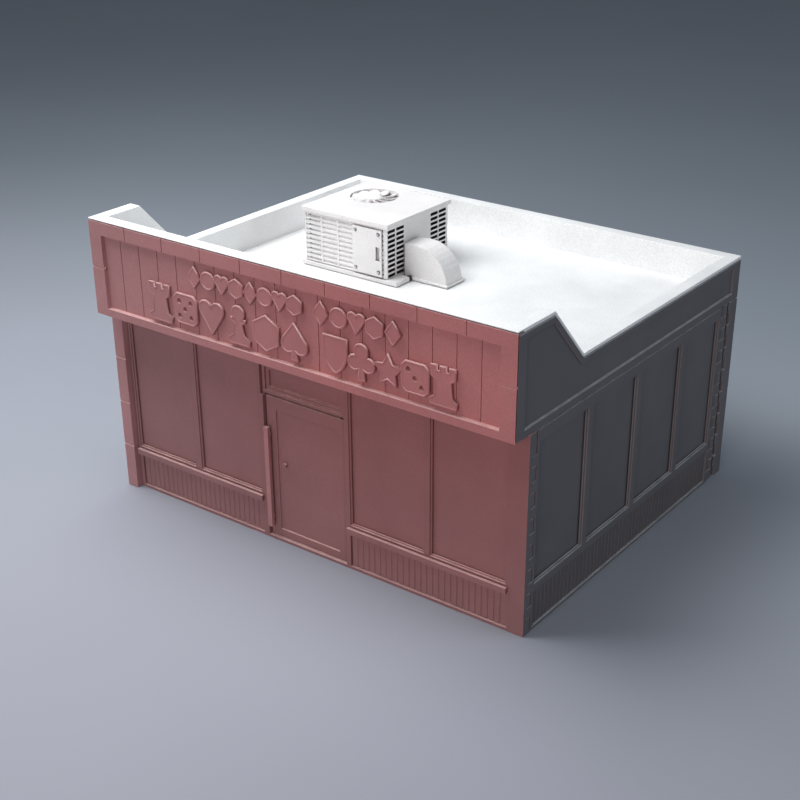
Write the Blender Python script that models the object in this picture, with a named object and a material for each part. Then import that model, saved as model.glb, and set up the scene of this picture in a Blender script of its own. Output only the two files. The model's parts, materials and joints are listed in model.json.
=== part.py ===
"""Carry case for tabletop miniatures, shaped as a one-storey shop with a lift-off parapet roof.

Metres, +Z up, +X to the right of the shop front, the front faces -Y.
The origin is on the ground under the middle of the case.
The lid lifts along +Z, the right wall swings on its rear knuckles, the entry door on its right jamb.
"""
import math

import bmesh
import bpy
from mathutils import Matrix, Vector

MM = 0.001

# Driving dimensions
WIDTH = 0.150
DEPTH = 0.127
FRONT_HEIGHT = 0.091       # top of the sign parapet
REAR_HEIGHT = 0.0745       # top of the side and rear parapets
SEAM = 0.061               # where the lid rests on the walls
OVERHANG = 0.0072          # the sign stands this far in front of the shop front
BLOCK = 0.015              # masonry module of the joints
WALL = 0.004
BASE = 0.004
GAP = 0.0003               # between neighbouring solids
CUT = 0.001                # how far a cutter runs past the surface it opens

HALF_W = WIDTH / 2
HALF_D = DEPTH / 2
FRONT_Y = -HALF_D + OVERHANG
INNER_FRONT_Y = FRONT_Y + WALL
INNER_BACK_Y = HALF_D - WALL
INNER_X = HALF_W - WALL
WALL_TOP = SEAM - GAP

# Windows: two steps down to the pane, which is fitted from inside
STEP = 0.00045
LEDGE = 0.0005
PANE_DEPTH = 0.0009
PANE_SEAT = 0.0006
WINDOW_BOTTOM = 0.0146
WINDOW_TOP = 0.0573
FRONT_LEFT_PANES = ((-0.0698, -0.0454), (-0.0428, -0.0180))
FRONT_RIGHT_PANES = ((0.0159, 0.0419), (0.0439, 0.0690))
SIDE_PANES = ((-0.0517, -0.0267), (-0.0243, 0.0006), (0.0030, 0.0273), (0.0297, 0.0519))
SILL_HEIGHTS = (0.0122, 0.0142)
SILL_PROUD = 0.0010

# Beadboard under the windows
BEAD_TOP = 0.0122
BEAD_BOTTOM = 0.0010
BEAD_SET_BACK = 0.0005
BEAD_THICK = 0.0008
BEAD_SPANS = {"front_left": (-0.0692, -0.0178), "front_right": (0.0158, 0.0696)}
SIDE_BEAD_SPAN = (-0.0517, 0.0519)

# Front corner: the front's end has notches, closed by the fingers of the swinging wall
POST_END = -0.0531
FINGER_ROOT = -0.0525
FINGER_TIP = -0.0548
FINGER_HEIGHT = 0.0030
FINGER_PITCH = SEAM / 8
FIRST_FINGER = 0.0067
FINGERS = 7
FINGER_GAP = 0.00015

# Knuckles of the swinging wall
KNUCKLES = 16
KNUCKLE_PITCH = SEAM / KNUCKLES
BARREL = 0.00295
SOCKET = 0.0033            # from the pin's axis to the edges of the walls beside it
WEB_OUT = 0.0016           # outer face of a knuckle's web, from the axis
AXIS_X = HALF_W - 0.0030
AXIS_Y = INNER_BACK_Y - SOCKET
WALL_PIN = 0.0010
SWING_CLEAR = 0.0004       # under the swinging wall

# Entry door and transom
DOORWAY = (-0.0158, 0.0143)
DOORWAY_HEIGHTS = (0.0009, 0.0473)
TRANSOM = (-0.0167, 0.0145)
TRANSOM_BOTTOM = 0.0472
DOOR_GAP = 0.0004
DOOR_SET_BACK = 0.0010
DOOR_THICK = 0.0026
DOOR_PANE = (-0.0118, 0.0108)
DOOR_PANE_HEIGHTS = (0.0036, 0.0430)
DOOR_AXIS_X = DOORWAY[1] - DOOR_GAP - DOOR_THICK / 2
DOOR_AXIS_Y = FRONT_Y + DOOR_SET_BACK + DOOR_THICK / 2
DOOR_PIN = 0.0006
HANDLE_X = (-0.0151, -0.0135)
HANDLE_HEIGHTS = (0.0046, 0.0376)

# Lid
FASCIA = 0.0026            # thickness of the four outer panels
COPING = 0.0010
FRONT_COPING = 0.0004
PARAPET = 0.0041           # outer face to roof well
DECK_TOP = 0.0646
SLOPE_START = -HALF_D + 0.0169
SLOPE_END = -HALF_D + 0.0322
SIGN_BORDER = 0.0048
SIGN_RECESS = 0.0015
SIGN_BOTTOM = 0.0634
SIGN_TOP = 0.0863
SIDE_BORDER = 0.0043
SIDE_RECESS = 0.0007
SIDE_BOTTOM = 0.0633
TOP_BORDER = 0.0018
GROOVE = 0.0003            # width and depth of joints and board lines

# Roof unit
UNIT_X = (-0.0460, -0.0132)
UNIT_Y = (-0.0002, 0.0319)
CURB_TOP = 0.0661
CURB_LIP = 0.0004
UNIT_TOP = 0.0823
UNIT_LID = 0.0015
UNIT_LIP = 0.0008
FAN_X = -0.0347
FAN_Y = 0.0215
FAN_WELL = 0.0080
FAN_WELL_DEPTH = 0.0040
PANEL_X = (-0.0263, -0.0149)
PANEL_Z = (0.0669, 0.0817)
PANEL_THICK = 0.0004
DUCT_Y = (0.0078, 0.0162)
DUCT_RADIUS = 0.0113
DUCT_END = 0.0036

# Magnets
MAGNET = 0.0010
MAGNET_LENGTH = 0.0013
FRONT_MAGNETS = (-0.0560, 0.0560)
REAR_MAGNETS = (-0.0500, 0.0500)
REAR_MAGNET_Y = 0.0566
CATCH_Y = -0.0400
CATCH_Z = 0.0022

ROUND = 24
SMALL_ROUND = 12

# Outer faces: the axis across the face, the outward sign, and where the plane stands
FACES = {
    "front": ("y", -1, FRONT_Y),
    "sign": ("y", -1, -HALF_D),
    "back": ("y", 1, HALF_D),
    "right": ("x", 1, HALF_W),
    "left": ("x", -1, -HALF_W),
}

for old in list(bpy.data.objects):
    bpy.data.objects.remove(old)

PARTS = bpy.data.collections.new("miniature_carry_case")
CUTTERS = bpy.data.collections.new("cutters")
bpy.context.scene.collection.children.link(PARTS)
bpy.context.scene.collection.children.link(CUTTERS)


def finish(name, colour, roughness, metallic=0.0):
    """A plain Principled material."""
    made = bpy.data.materials.new(name)
    made.use_nodes = True
    shader = made.node_tree.nodes["Principled BSDF"]
    shader.inputs["Base Color"].default_value = (*colour, 1)
    shader.inputs["Roughness"].default_value = roughness
    shader.inputs["Metallic"].default_value = metallic
    return made


ROSE = finish("rose_print", (0.27, 0.12, 0.12), 0.6)
CHARCOAL = finish("charcoal_print", (0.05, 0.055, 0.065), 0.6)
WHITE = finish("white_print", (0.85, 0.85, 0.84), 0.6)
UNIT_WHITE = finish("unit_white", (0.78, 0.77, 0.76), 0.55)
STEEL = finish("steel", (0.55, 0.56, 0.58), 0.35, 1.0)
MAGNET_METAL = finish("magnet_nickel", (0.62, 0.61, 0.58), 0.25, 1.0)


def empty(name, at, parent=None):
    """An empty that stands for a body, on its joint's axis."""
    made = bpy.data.objects.new(name, None)
    PARTS.objects.link(made)
    made.empty_display_size = 0.01
    made.parent = parent
    made.location = Vector(at) - (parent.location if parent else Vector())
    return made


CASE = empty("case_body", (0, 0, 0))
LID = empty("lid_body", (0, 0, 0), CASE)
SWING = empty("swing_wall_axis", (AXIS_X, AXIS_Y, 0), CASE)
DOOR = empty("entry_door_axis", (DOOR_AXIS_X, DOOR_AXIS_Y, 0), CASE)


def world_place(parent):
    """Where a body's empty stands in the world; none of them is turned."""
    place = Vector(parent.location)
    return place + parent.parent.location if parent.parent else place


def stand(name, mesh, at, body, material=None, turn=(0, 0, 0)):
    """A mesh as a part of a body, or as a cutter when it has no material."""
    piece = bpy.data.objects.new(name, mesh)
    (PARTS if material else CUTTERS).objects.link(piece)
    piece.parent = body
    piece.location = Vector(at) - world_place(body)
    piece.rotation_euler = turn
    if material:
        mesh.materials.append(material)
    else:
        piece.hide_render = True
        piece.display_type = "WIRE"
    return piece


def mesh_of(name, work):
    """A bmesh written to a new mesh."""
    mesh = bpy.data.meshes.new(name)
    work.to_mesh(mesh)
    work.free()
    return mesh


def boxes(name, spans, body, material=None):
    """Separate boxes in one object, each span given by its lowest and highest corners."""
    centre = (Vector(spans[0][0]) + Vector(spans[0][1])) / 2
    work = bmesh.new()
    for low, high in spans:
        low, high = Vector(low), Vector(high)
        cube = bmesh.ops.create_cube(work, size=1)["verts"]
        bmesh.ops.scale(work, vec=high - low, verts=cube)
        bmesh.ops.translate(work, vec=(low + high) / 2 - centre, verts=cube)
    return stand(name, mesh_of(name, work), centre, body, material)


def rods(name, ends, radius, body, material=None, sides=ROUND, axis="Z"):
    """Separate round rods in one object, each given by its middle and its length."""
    turn = {"X": Matrix.Rotation(math.pi / 2, 4, "Y"), "Y": Matrix.Rotation(math.pi / 2, 4, "X"),
            "Z": Matrix()}[axis]
    first = Vector(ends[0][0])
    work = bmesh.new()
    for middle, length in ends:
        place = Matrix.Translation(Vector(middle) - first) @ turn
        bmesh.ops.create_cone(work, cap_ends=True, segments=sides, radius1=radius,
                              radius2=radius, depth=length, matrix=place)
    mesh = mesh_of(name, work)
    mesh.shade_smooth()
    mesh.set_sharp_from_angle(angle=math.radians(40))
    return stand(name, mesh, first, body, material)


def each(maker, name, items, *rest, **more):
    """Identical pieces, one object each, numbered from 1."""
    return [maker(f"{name}_{number}", [item], *rest, **more)
            for number, item in enumerate(items, 1)]


def plate(name, outlines, thickness, at, body, material=None, turn=(0, 0, 0)):
    """Flat outlines given thickness: a filled 2D curve, drawn in millimetres, made a closed mesh."""
    curve = bpy.data.curves.new(name, "CURVE")
    curve.dimensions = "2D"
    curve.fill_mode = "BOTH"
    curve.extrude = thickness / 2 / MM
    for outline in outlines:
        spline = curve.splines.new("POLY")
        spline.points.add(len(outline) - 1)
        for point, (across, up) in zip(spline.points, outline):
            point.co = (across / MM, up / MM, 0, 1)
        spline.use_cyclic_u = True
    holder = bpy.data.objects.new(name + "_curve", curve)
    PARTS.objects.link(holder)
    filled = holder.evaluated_get(bpy.context.evaluated_depsgraph_get())
    work = bmesh.new()
    work.from_mesh(bpy.data.meshes.new_from_object(filled))
    bpy.data.objects.remove(holder)
    bmesh.ops.remove_doubles(work, verts=work.verts, dist=0.001)
    bmesh.ops.scale(work, vec=(MM, MM, MM), verts=work.verts)
    bmesh.ops.recalc_face_normals(work, faces=work.faces)
    return stand(name, mesh_of(name, work), at, body, material, turn)


def combine(piece, tool, operation):
    """A Boolean on a piece."""
    boolean = piece.modifiers.new(tool.name, "BOOLEAN")
    boolean.operation = operation
    boolean.solver = "EXACT"
    boolean.object = tool


def cut(piece, label, spans):
    """Boxes cut out of a piece; the boxes of one cut don't touch each other."""
    combine(piece, boxes(f"{piece.name}_{label}", spans, piece.parent), "DIFFERENCE")


def join(piece, label, spans):
    """Boxes joined to a piece."""
    combine(piece, boxes(f"{piece.name}_{label}", spans, piece.parent), "UNION")


def bore(piece, label, ends, radius, axis="Z"):
    """Round holes cut out of a piece."""
    holes = rods(f"{piece.name}_{label}", ends, radius, piece.parent, sides=SMALL_ROUND, axis=axis)
    combine(piece, holes, "DIFFERENCE")


def on_face(face, along, heights, depths):
    """A box against an outer face: its span along the face, its heights, its depths inward."""
    axis, outward, plane = FACES[face]
    across = sorted(plane - outward * depth for depth in depths)
    spans = (across, along) if axis == "x" else (along, across)
    return ((spans[0][0], spans[1][0], heights[0]), (spans[0][1], spans[1][1], heights[1]))


def shrink(span, by):
    """A span made shorter at both ends."""
    return (span[0] + by, span[1] - by)


def arc(centre, radius, start, end, steps):
    """Points on an arc, angles in degrees."""
    angles = (math.radians(start + (end - start) * step / steps) for step in range(steps + 1))
    return [(centre[0] + radius * math.cos(a), centre[1] + radius * math.sin(a)) for a in angles]


# ---------------------------------------------------------------- base

def make_base():
    """Floor tray with a shallow pocket, and the steel sheet that holds magnetic bases."""
    low = (-INNER_X + GAP, INNER_FRONT_Y + GAP, 0)
    high = (INNER_X - GAP, INNER_BACK_Y - GAP, BASE)
    tray = boxes("base_tray", [(low, high)], CASE, CHARCOAL)
    pocket = 0.0010
    pocket_low = Vector((-0.0660, -0.0480, BASE - pocket))
    pocket_high = Vector((0.0660, 0.0500, BASE + CUT))
    barrel_room = BARREL + 0.0005
    cut(tray, "pocket", [(pocket_low, pocket_high)])
    cut(tray, "knuckle_room", [((AXIS_X - barrel_room, AXIS_Y - barrel_room, -CUT),
                                (HALF_W, HALF_D, BASE + CUT))])
    bore(tray, "catch_pocket", [((INNER_X - GAP, CATCH_Y, CATCH_Z), 0.0036)],
         MAGNET + GAP, axis="X")
    sheet_low = pocket_low + Vector((GAP, GAP, GAP))
    sheet_high = Vector((pocket_high.x - GAP, pocket_high.y - GAP, BASE - 0.0001))
    boxes("steel_floor_sheet", [(sheet_low, sheet_high)], CASE, STEEL)
    rods("base_catch_magnet", [((INNER_X - GAP - 0.0009, CATCH_Y, CATCH_Z), MAGNET_LENGTH)],
         MAGNET, CASE, MAGNET_METAL, sides=SMALL_ROUND, axis="X")


# ---------------------------------------------------------------- windows and beadboard

def open_windows(wall, face, groups):
    """Stepped openings for the panes, and a pocket behind each group of panes."""
    panes = [pane for group in groups for pane in group]
    heights = (WINDOW_BOTTOM, WINDOW_TOP)
    cut(wall, "window_steps", [on_face(face, pane, heights, (-CUT, STEP)) for pane in panes])
    cut(wall, "window_lights", [on_face(face, shrink(pane, LEDGE), shrink(heights, LEDGE),
                                        (0, PANE_DEPTH + CUT)) for pane in panes])
    seat = LEDGE - PANE_SEAT
    cut(wall, "pane_pockets", [on_face(face, shrink((group[0][0], group[-1][1]), seat),
                                       shrink(heights, seat),
                                       (PANE_DEPTH, WALL + CUT)) for group in groups])


def panes_for(name, face, group, body, material):
    """The opaque sheet that fills one group of windows from inside."""
    seat = LEDGE - PANE_SEAT + GAP
    boxes(name, [on_face(face, shrink((group[0][0], group[-1][1]), seat),
                         shrink((WINDOW_BOTTOM, WINDOW_TOP), seat),
                         (PANE_DEPTH + GAP, WALL - GAP))], body, material)


def open_beadboard(wall, face, spans):
    """Recesses for the beadboard panels."""
    depth = BEAD_SET_BACK + BEAD_THICK + GAP
    cut(wall, "beadboard_recess",
        [on_face(face, span, (BEAD_BOTTOM, BEAD_TOP), (-CUT, depth)) for span in spans])


def beadboard(name, face, span, body, material):
    """A beadboard panel in its recess."""
    boxes(name, [on_face(face, shrink(span, GAP), (BEAD_BOTTOM + GAP, BEAD_TOP - GAP),
                         (BEAD_SET_BACK, BEAD_SET_BACK + BEAD_THICK))], body, material)


# ---------------------------------------------------------------- shop front

def make_front_wall():
    """Shop front: doorway, transom opening, four windows, beadboard recesses, corner rebate."""
    left_end = -HALF_W + 0.0042 + GAP
    wall = boxes("front_wall", [on_face("front", (left_end, HALF_W), (0, WALL_TOP), (0, WALL))],
                 CASE, ROSE)
    open_windows(wall, "front", (FRONT_LEFT_PANES, FRONT_RIGHT_PANES))
    open_beadboard(wall, "front", BEAD_SPANS.values())
    cut(wall, "doorway", [on_face("front", DOORWAY, DOORWAY_HEIGHTS, (-CUT, WALL + CUT))])
    cut(wall, "transom_opening", [on_face("front", TRANSOM, (TRANSOM_BOTTOM, WINDOW_TOP),
                                          (-CUT, WALL + CUT))])
    cut(wall, "corner_rebate", [on_face("front", (INNER_X - GAP, HALF_W + CUT),
                                        (-CUT, SEAM), (POST_END - FRONT_Y, WALL + CUT))])
    notch = FINGER_HEIGHT / 2 + FINGER_GAP
    cut(wall, "notches", [((INNER_X - GAP, FINGER_TIP - FINGER_GAP, z - notch),
                           (HALF_W + CUT, POST_END + CUT, z + notch)) for z in finger_heights()])
    magnet_y = (FRONT_Y + INNER_FRONT_Y) / 2
    bore(wall, "magnet_pockets", [((x, magnet_y, WALL_TOP), 0.0036) for x in FRONT_MAGNETS],
         MAGNET + GAP)
    bore(wall, "door_pin_hole", [((DOOR_AXIS_X, DOOR_AXIS_Y, 0), 0.0030)], DOOR_PIN + GAP)
    for side, group in (("left", FRONT_LEFT_PANES), ("right", FRONT_RIGHT_PANES)):
        panes_for(f"front_{side}_panes", "front", group, CASE, ROSE)
        beadboard(f"front_{side}_beadboard", "front", BEAD_SPANS[f"front_{side}"], CASE, ROSE)
    sill_spans = {"left": (-0.0700, -0.0170), "right": (0.0154, 0.0698)}
    for side, span in sill_spans.items():
        boxes(f"front_{side}_sill", [on_face("front", span, SILL_HEIGHTS,
                                             (-SILL_PROUD - GAP, -GAP))], CASE, ROSE)


def make_corner_pilaster():
    """Block pilaster on the left front corner, with a joint at each course."""
    across = (-HALF_W, -HALF_W + 0.0042)
    front = FRONT_Y - 0.0020
    pilaster = boxes("corner_pilaster", [((across[0], front, 0),
                                          (across[1], INNER_FRONT_Y, WALL_TOP))], CASE, ROSE)
    joints = []
    for course in (1, 2, 3):
        z = (course * BLOCK - GROOVE / 2, course * BLOCK + GROOVE / 2)
        joints.append(((across[0] - CUT, front - CUT, z[0]),
                       (across[1] + CUT, front + GROOVE, z[1])))
    cut(pilaster, "joints", joints)


def finger_heights():
    """Middle height of each finger on the front corner."""
    return [FIRST_FINGER + FINGER_PITCH * number for number in range(FINGERS)]


def make_transom():
    """Stepped insert over the door."""
    outer = shrink(TRANSOM, DOOR_GAP)
    heights = (TRANSOM_BOTTOM + 0.0006, WINDOW_TOP - GAP)
    front = 0.0007
    frame = 0.0010
    insert = boxes("transom_window", [on_face("front", outer, heights, (front, WALL - GAP))],
                   CASE, ROSE)
    cut(insert, "outer_step", [on_face("front", shrink(outer, frame), shrink(heights, frame),
                                       (front - CUT, front + 0.0008))])
    cut(insert, "inner_step", [on_face("front", shrink(outer, 2 * frame), shrink(heights, 2 * frame),
                                       (front, front + 0.0016))])
    bore(insert, "door_pin_hole", [((DOOR_AXIS_X, DOOR_AXIS_Y, heights[0]), 0.0018)],
         DOOR_PIN + GAP)


def make_entry_door():
    """Door leaf with a round hinge edge, its pull handle, its lock and the two hinge pins."""
    front = FRONT_Y + DOOR_SET_BACK
    back = front + DOOR_THICK
    free_edge = DOORWAY[0] + DOOR_GAP
    heights = (DOORWAY_HEIGHTS[0] + GAP, DOORWAY_HEIGHTS[1] - GAP)
    outline = [(free_edge, back), (free_edge, front)]
    outline += arc((DOOR_AXIS_X, DOOR_AXIS_Y), DOOR_THICK / 2, -90, 90, SMALL_ROUND)
    outline = [(x - DOOR_AXIS_X, y - DOOR_AXIS_Y) for x, y in outline]
    leaf = plate("door_leaf", [outline], heights[1] - heights[0],
                 (DOOR_AXIS_X, DOOR_AXIS_Y, sum(heights) / 2), DOOR, ROSE)
    cut(leaf, "pane_recess", [on_face("front", DOOR_PANE, DOOR_PANE_HEIGHTS,
                                      (DOOR_SET_BACK - CUT, DOOR_SET_BACK + STEP))])
    bore(leaf, "pin_holes", [((DOOR_AXIS_X, DOOR_AXIS_Y, z), 0.0052) for z in heights],
         DOOR_PIN + GAP)
    bar = (DOOR_SET_BACK - 0.0021, DOOR_SET_BACK - 0.0010)
    handle = boxes("door_handle", [on_face("front", HANDLE_X, HANDLE_HEIGHTS, bar)], DOOR, ROSE)
    join(handle, "feet", [on_face("front", shrink(HANDLE_X, GAP), (z, z + 0.0016),
                                  (DOOR_SET_BACK - 0.0015, DOOR_SET_BACK - GAP))
                          for z in (HANDLE_HEIGHTS[0] + 0.002, HANDLE_HEIGHTS[1] - 0.0036)])
    rods("door_lock", [((-0.0090, front + STEP - GAP - 0.0004, 0.0260), 0.0008)], 0.0007, DOOR,
         STEEL, sides=SMALL_ROUND, axis="Y")
    pin_spans = ((0.0002, 0.0034), (0.0450, 0.0483))
    pins = [((DOOR_AXIS_X, DOOR_AXIS_Y, sum(span) / 2), span[1] - span[0]) for span in pin_spans]
    each(rods, "door_hinge_pin", pins, DOOR_PIN, CASE, STEEL, sides=SMALL_ROUND)


# ---------------------------------------------------------------- side and back walls

def knuckle_span(number):
    """Heights of one knuckle, with half a gap at each end."""
    play = GAP / 2 + 0.00003
    bottom = max(number * KNUCKLE_PITCH + play, SWING_CLEAR)
    return bottom, min((number + 1) * KNUCKLE_PITCH - play, WALL_TOP)


def knuckle_outline(side):
    """Section of a barrel with its web towards one side: -1 the front, 1 the rear."""
    reach = SOCKET + GAP
    web_in = INNER_X - AXIS_X + 0.0001
    start = math.degrees(math.acos(WEB_OUT / BARREL))
    end = math.degrees(math.acos(web_in / BARREL)) - 360
    outline = arc((0, 0), BARREL, start, end, ROUND) + [(web_in, reach), (WEB_OUT, reach)]
    return [(x, side * y) for x, y in outline]


def lip_outline(side):
    """Section of the lip that a wall's edge puts round the other wall's barrels."""
    reach = SOCKET + GAP
    outer = HALF_W - AXIS_X - 0.00005
    end = WEB_OUT + GAP
    radius = BARREL + GAP
    outline = [(outer, end)] + arc((0, 0), radius, math.degrees(math.asin(end / radius)), 90, 6)
    outline += [(0, reach), (outer, reach)]
    return [(x, side * y) for x, y in outline]


def add_knuckles(wall, own, side):
    """Hinge barrels on a wall's edge, lips round the other wall's barrels, the hole for the pin."""
    for number in range(KNUCKLES):
        low, high = knuckle_span(number)
        kind, outline = ("lip", lip_outline(side))
        if number % 2 == own:
            kind, outline = ("knuckle", knuckle_outline(side))
        tool = plate(f"{wall.name}_{kind}_{number}", [outline], high - low,
                     (AXIS_X, AXIS_Y, (low + high) / 2), wall.parent)
        combine(wall, tool, "UNION")
    bore(wall, "pin_hole", [((AXIS_X, AXIS_Y, SEAM / 2), SEAM + 2 * CUT)], WALL_PIN + GAP)


def make_swing_wall():
    """Right wall: swings out on the rear knuckles, its front edge has fingers."""
    rear = AXIS_Y - SOCKET
    wall = boxes("swing_wall", [on_face("right", (FINGER_ROOT, rear), (SWING_CLEAR, WALL_TOP),
                                        (0, WALL))], SWING, CHARCOAL)
    open_windows(wall, "right", (SIDE_PANES,))
    open_beadboard(wall, "right", (SIDE_BEAD_SPAN,))
    half = FINGER_HEIGHT / 2
    join(wall, "fingers", [on_face("right", (FINGER_TIP, FINGER_ROOT + 0.0002), (z - half, z + half),
                                   (0, WALL)) for z in finger_heights()])
    add_knuckles(wall, 1, -1)
    bore(wall, "catch_pocket", [((INNER_X, CATCH_Y, CATCH_Z), 0.0030)], MAGNET + GAP, axis="X")
    panes_for("swing_wall_panes", "right", SIDE_PANES, SWING, CHARCOAL)
    beadboard("swing_wall_beadboard", "right", SIDE_BEAD_SPAN, SWING, CHARCOAL)
    rods("swing_wall_catch_magnet", [((INNER_X + 0.0008, CATCH_Y, CATCH_Z), 0.0010)], MAGNET,
         SWING, MAGNET_METAL, sides=SMALL_ROUND, axis="X")
    rods("swing_wall_pin", [((AXIS_X, AXIS_Y, SEAM / 2), SEAM - 0.0014)], WALL_PIN, CASE, STEEL,
         sides=SMALL_ROUND)


def make_left_wall():
    """Left wall: fixed, with the same windows as the swinging wall."""
    wall = boxes("left_wall", [on_face("left", (INNER_FRONT_Y + GAP, INNER_BACK_Y - GAP),
                                       (0, WALL_TOP), (0, WALL))], CASE, CHARCOAL)
    open_windows(wall, "left", (SIDE_PANES,))
    open_beadboard(wall, "left", (SIDE_BEAD_SPAN,))
    panes_for("left_wall_panes", "left", SIDE_PANES, CASE, CHARCOAL)
    beadboard("left_wall_beadboard", "left", SIDE_BEAD_SPAN, CASE, CHARCOAL)


def make_back_wall():
    """Back wall: block joints, a service door, and the fixed half of the knuckles."""
    wall = boxes("back_wall", [on_face("back", (-HALF_W, HALF_W), (0, WALL_TOP), (0, WALL))],
                 CASE, CHARCOAL)
    door = (-0.0560, -0.0280)
    door_top = 0.0470
    cut(wall, "joints", [on_face("back", (-HALF_W - CUT, HALF_W + CUT),
                                 (course * BLOCK - GROOVE / 2, course * BLOCK + GROOVE / 2),
                                 (-CUT, GROOVE)) for course in (1, 2, 3)])
    cut(wall, "door_recess", [on_face("back", door, (0.0010, door_top), (-CUT, 0.0024))])
    add_knuckles(wall, 0, 1)
    panel = boxes("service_door", [on_face("back", shrink(door, 0.0004), (0.0014, door_top - 0.0004),
                                           (0.0008, 0.0021))], CASE, CHARCOAL)
    cut(panel, "panels", [on_face("back", (-0.0520, -0.0320), span, (0.0008 - CUT, 0.0014))
                          for span in ((0.0060, 0.0210), (0.0250, 0.0420))])
    rods("service_door_knob", [((-0.0305, HALF_D - 0.00025, 0.0225), 0.0005)], 0.0010, CASE, STEEL,
         sides=SMALL_ROUND, axis="Y")


def make_rear_magnet_blocks():
    """Two small blocks inside the back wall that hold the rear lid magnets."""
    half = 0.0035
    back = INNER_BACK_Y - GAP
    spans = [((x - half, back - 0.0052, 0.0530), (x + half, back, WALL_TOP)) for x in REAR_MAGNETS]
    for block, x in zip(each(boxes, "rear_magnet_block", spans, CASE, CHARCOAL), REAR_MAGNETS):
        bore(block, "magnet_pocket", [((x, REAR_MAGNET_Y, WALL_TOP), 0.0036)], MAGNET + GAP)


def magnet_places(z):
    """Where the four lid magnets stand, at one height."""
    front_y = (FRONT_Y + INNER_FRONT_Y) / 2
    places = [(x, front_y, z) for x in FRONT_MAGNETS]
    return places + [(x, REAR_MAGNET_Y, z) for x in REAR_MAGNETS]


# ---------------------------------------------------------------- lid

def parapet_height(y, lowered):
    """Height of the side parapet's top at one place along the wall."""
    if y <= SLOPE_START:
        return FRONT_HEIGHT - lowered
    if y >= SLOPE_END:
        return REAR_HEIGHT - lowered
    share = (y - SLOPE_START) / (SLOPE_END - SLOPE_START)
    return FRONT_HEIGHT + (REAR_HEIGHT - FRONT_HEIGHT) * share - lowered


def side_outline(span, bottom, lowered):
    """Side view of the parapet between two places: high front, slope, low rear."""
    stops = (span[0], SLOPE_START, SLOPE_END, span[1])
    return [(span[0], bottom)] + [(y, parapet_height(y, lowered)) for y in stops] + [(span[1], bottom)]


def side_plate(name, outline, across, body, material=None):
    """A side-view outline given its width along X."""
    return plate(name, [outline], across[1] - across[0], (sum(across) / 2, 0, 0), body, material,
                 turn=(math.pi / 2, 0, math.pi / 2))


def make_roof_tray():
    """Roof deck with its parapets and the coping that covers the outer panels."""
    tray = side_plate("roof_tray", side_outline((-HALF_D, HALF_D), SEAM, 0), (-HALF_W, HALF_W),
                      LID, WHITE)
    well_x = HALF_W - PARAPET
    well_y = HALF_D - PARAPET
    cut(tray, "roof_well", [((-well_x, -well_y, DECK_TOP), (well_x, well_y, FRONT_HEIGHT + CUT))])
    rebate = FASCIA + GAP
    cut(tray, "front_and_rear_rebates",
        [((-HALF_W - CUT, -HALF_D - CUT, SEAM - CUT),
          (HALF_W + CUT, -HALF_D + rebate, FRONT_HEIGHT - FRONT_COPING)),
         ((-HALF_W - CUT, HALF_D - rebate, SEAM - CUT),
          (HALF_W + CUT, HALF_D + CUT, REAR_HEIGHT - COPING))])
    for side in (-1, 1):
        across = sorted((side * (HALF_W - rebate), side * (HALF_W + CUT)))
        tool = side_plate(f"roof_tray_side_rebate_{'right' if side > 0 else 'left'}",
                          side_outline((-HALF_D - CUT, HALF_D + CUT), SEAM - CUT, COPING),
                          across, LID)
        combine(tray, tool, "DIFFERENCE")
    bore(tray, "magnet_pockets", [(place, 0.0036) for place in magnet_places(SEAM)], MAGNET + GAP)


def make_front_fascia():
    """Sign panel: mitred ends, recessed boards, block joints in its border."""
    top = FRONT_HEIGHT - FRONT_COPING - GAP
    inner = HALF_W - FASCIA
    outline = [(-HALF_W, -HALF_D), (HALF_W, -HALF_D), (inner, -HALF_D + FASCIA),
               (-inner, -HALF_D + FASCIA)]
    panel = plate("sign_fascia", [outline], top - SEAM, (0, 0, (top + SEAM) / 2), LID, ROSE)
    recess_end = HALF_W - SIGN_BORDER
    cut(panel, "recess", [on_face("sign", (-recess_end, recess_end), (SIGN_BOTTOM, SIGN_TOP),
                                  (-CUT, SIGN_RECESS))])
    half = GROOVE / 2
    joints = [on_face("sign", (x - half, x + half), (SIGN_TOP - 0.0002, top + CUT), (-CUT, GROOVE))
              for x in (BLOCK * number for number in range(-4, 5))]
    joint_z = SEAM + BLOCK
    joints += [on_face("sign", span, (joint_z - half, joint_z + half), (-CUT, GROOVE))
               for span in ((-HALF_W - CUT, -recess_end + 0.0002), (recess_end - 0.0002, HALF_W + CUT))]
    cut(panel, "block_joints", joints)
    board = BLOCK / 2
    lines = [board * (number + 0.5) for number in range(-9, 9)]
    cut(panel, "board_lines", [on_face("sign", (x - half, x + half), (SIGN_BOTTOM, SIGN_TOP),
                                       (SIGN_RECESS - CUT / 2, SIGN_RECESS + GROOVE)) for x in lines])
    add_sign_shapes(panel)


def mitre(panel, side, end):
    """The 45 degree end of a side panel, a gap away from the sign or the rear panel."""
    step = GAP * math.sqrt(2)
    reach = 0.006
    corner = end * HALF_D
    outline = [(side * (HALF_W + CUT), corner - end * (step - CUT)),
               (side * (HALF_W - reach), corner - end * (step + reach)),
               (side * (HALF_W - reach), corner + end * CUT * 2),
               (side * (HALF_W + CUT), corner + end * CUT * 2)]
    tool = plate(f"{panel.name}_mitre_{'front' if end < 0 else 'rear'}", [outline], 0.040,
                 (0, 0, 0.075), LID)
    combine(panel, tool, "DIFFERENCE")


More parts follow.
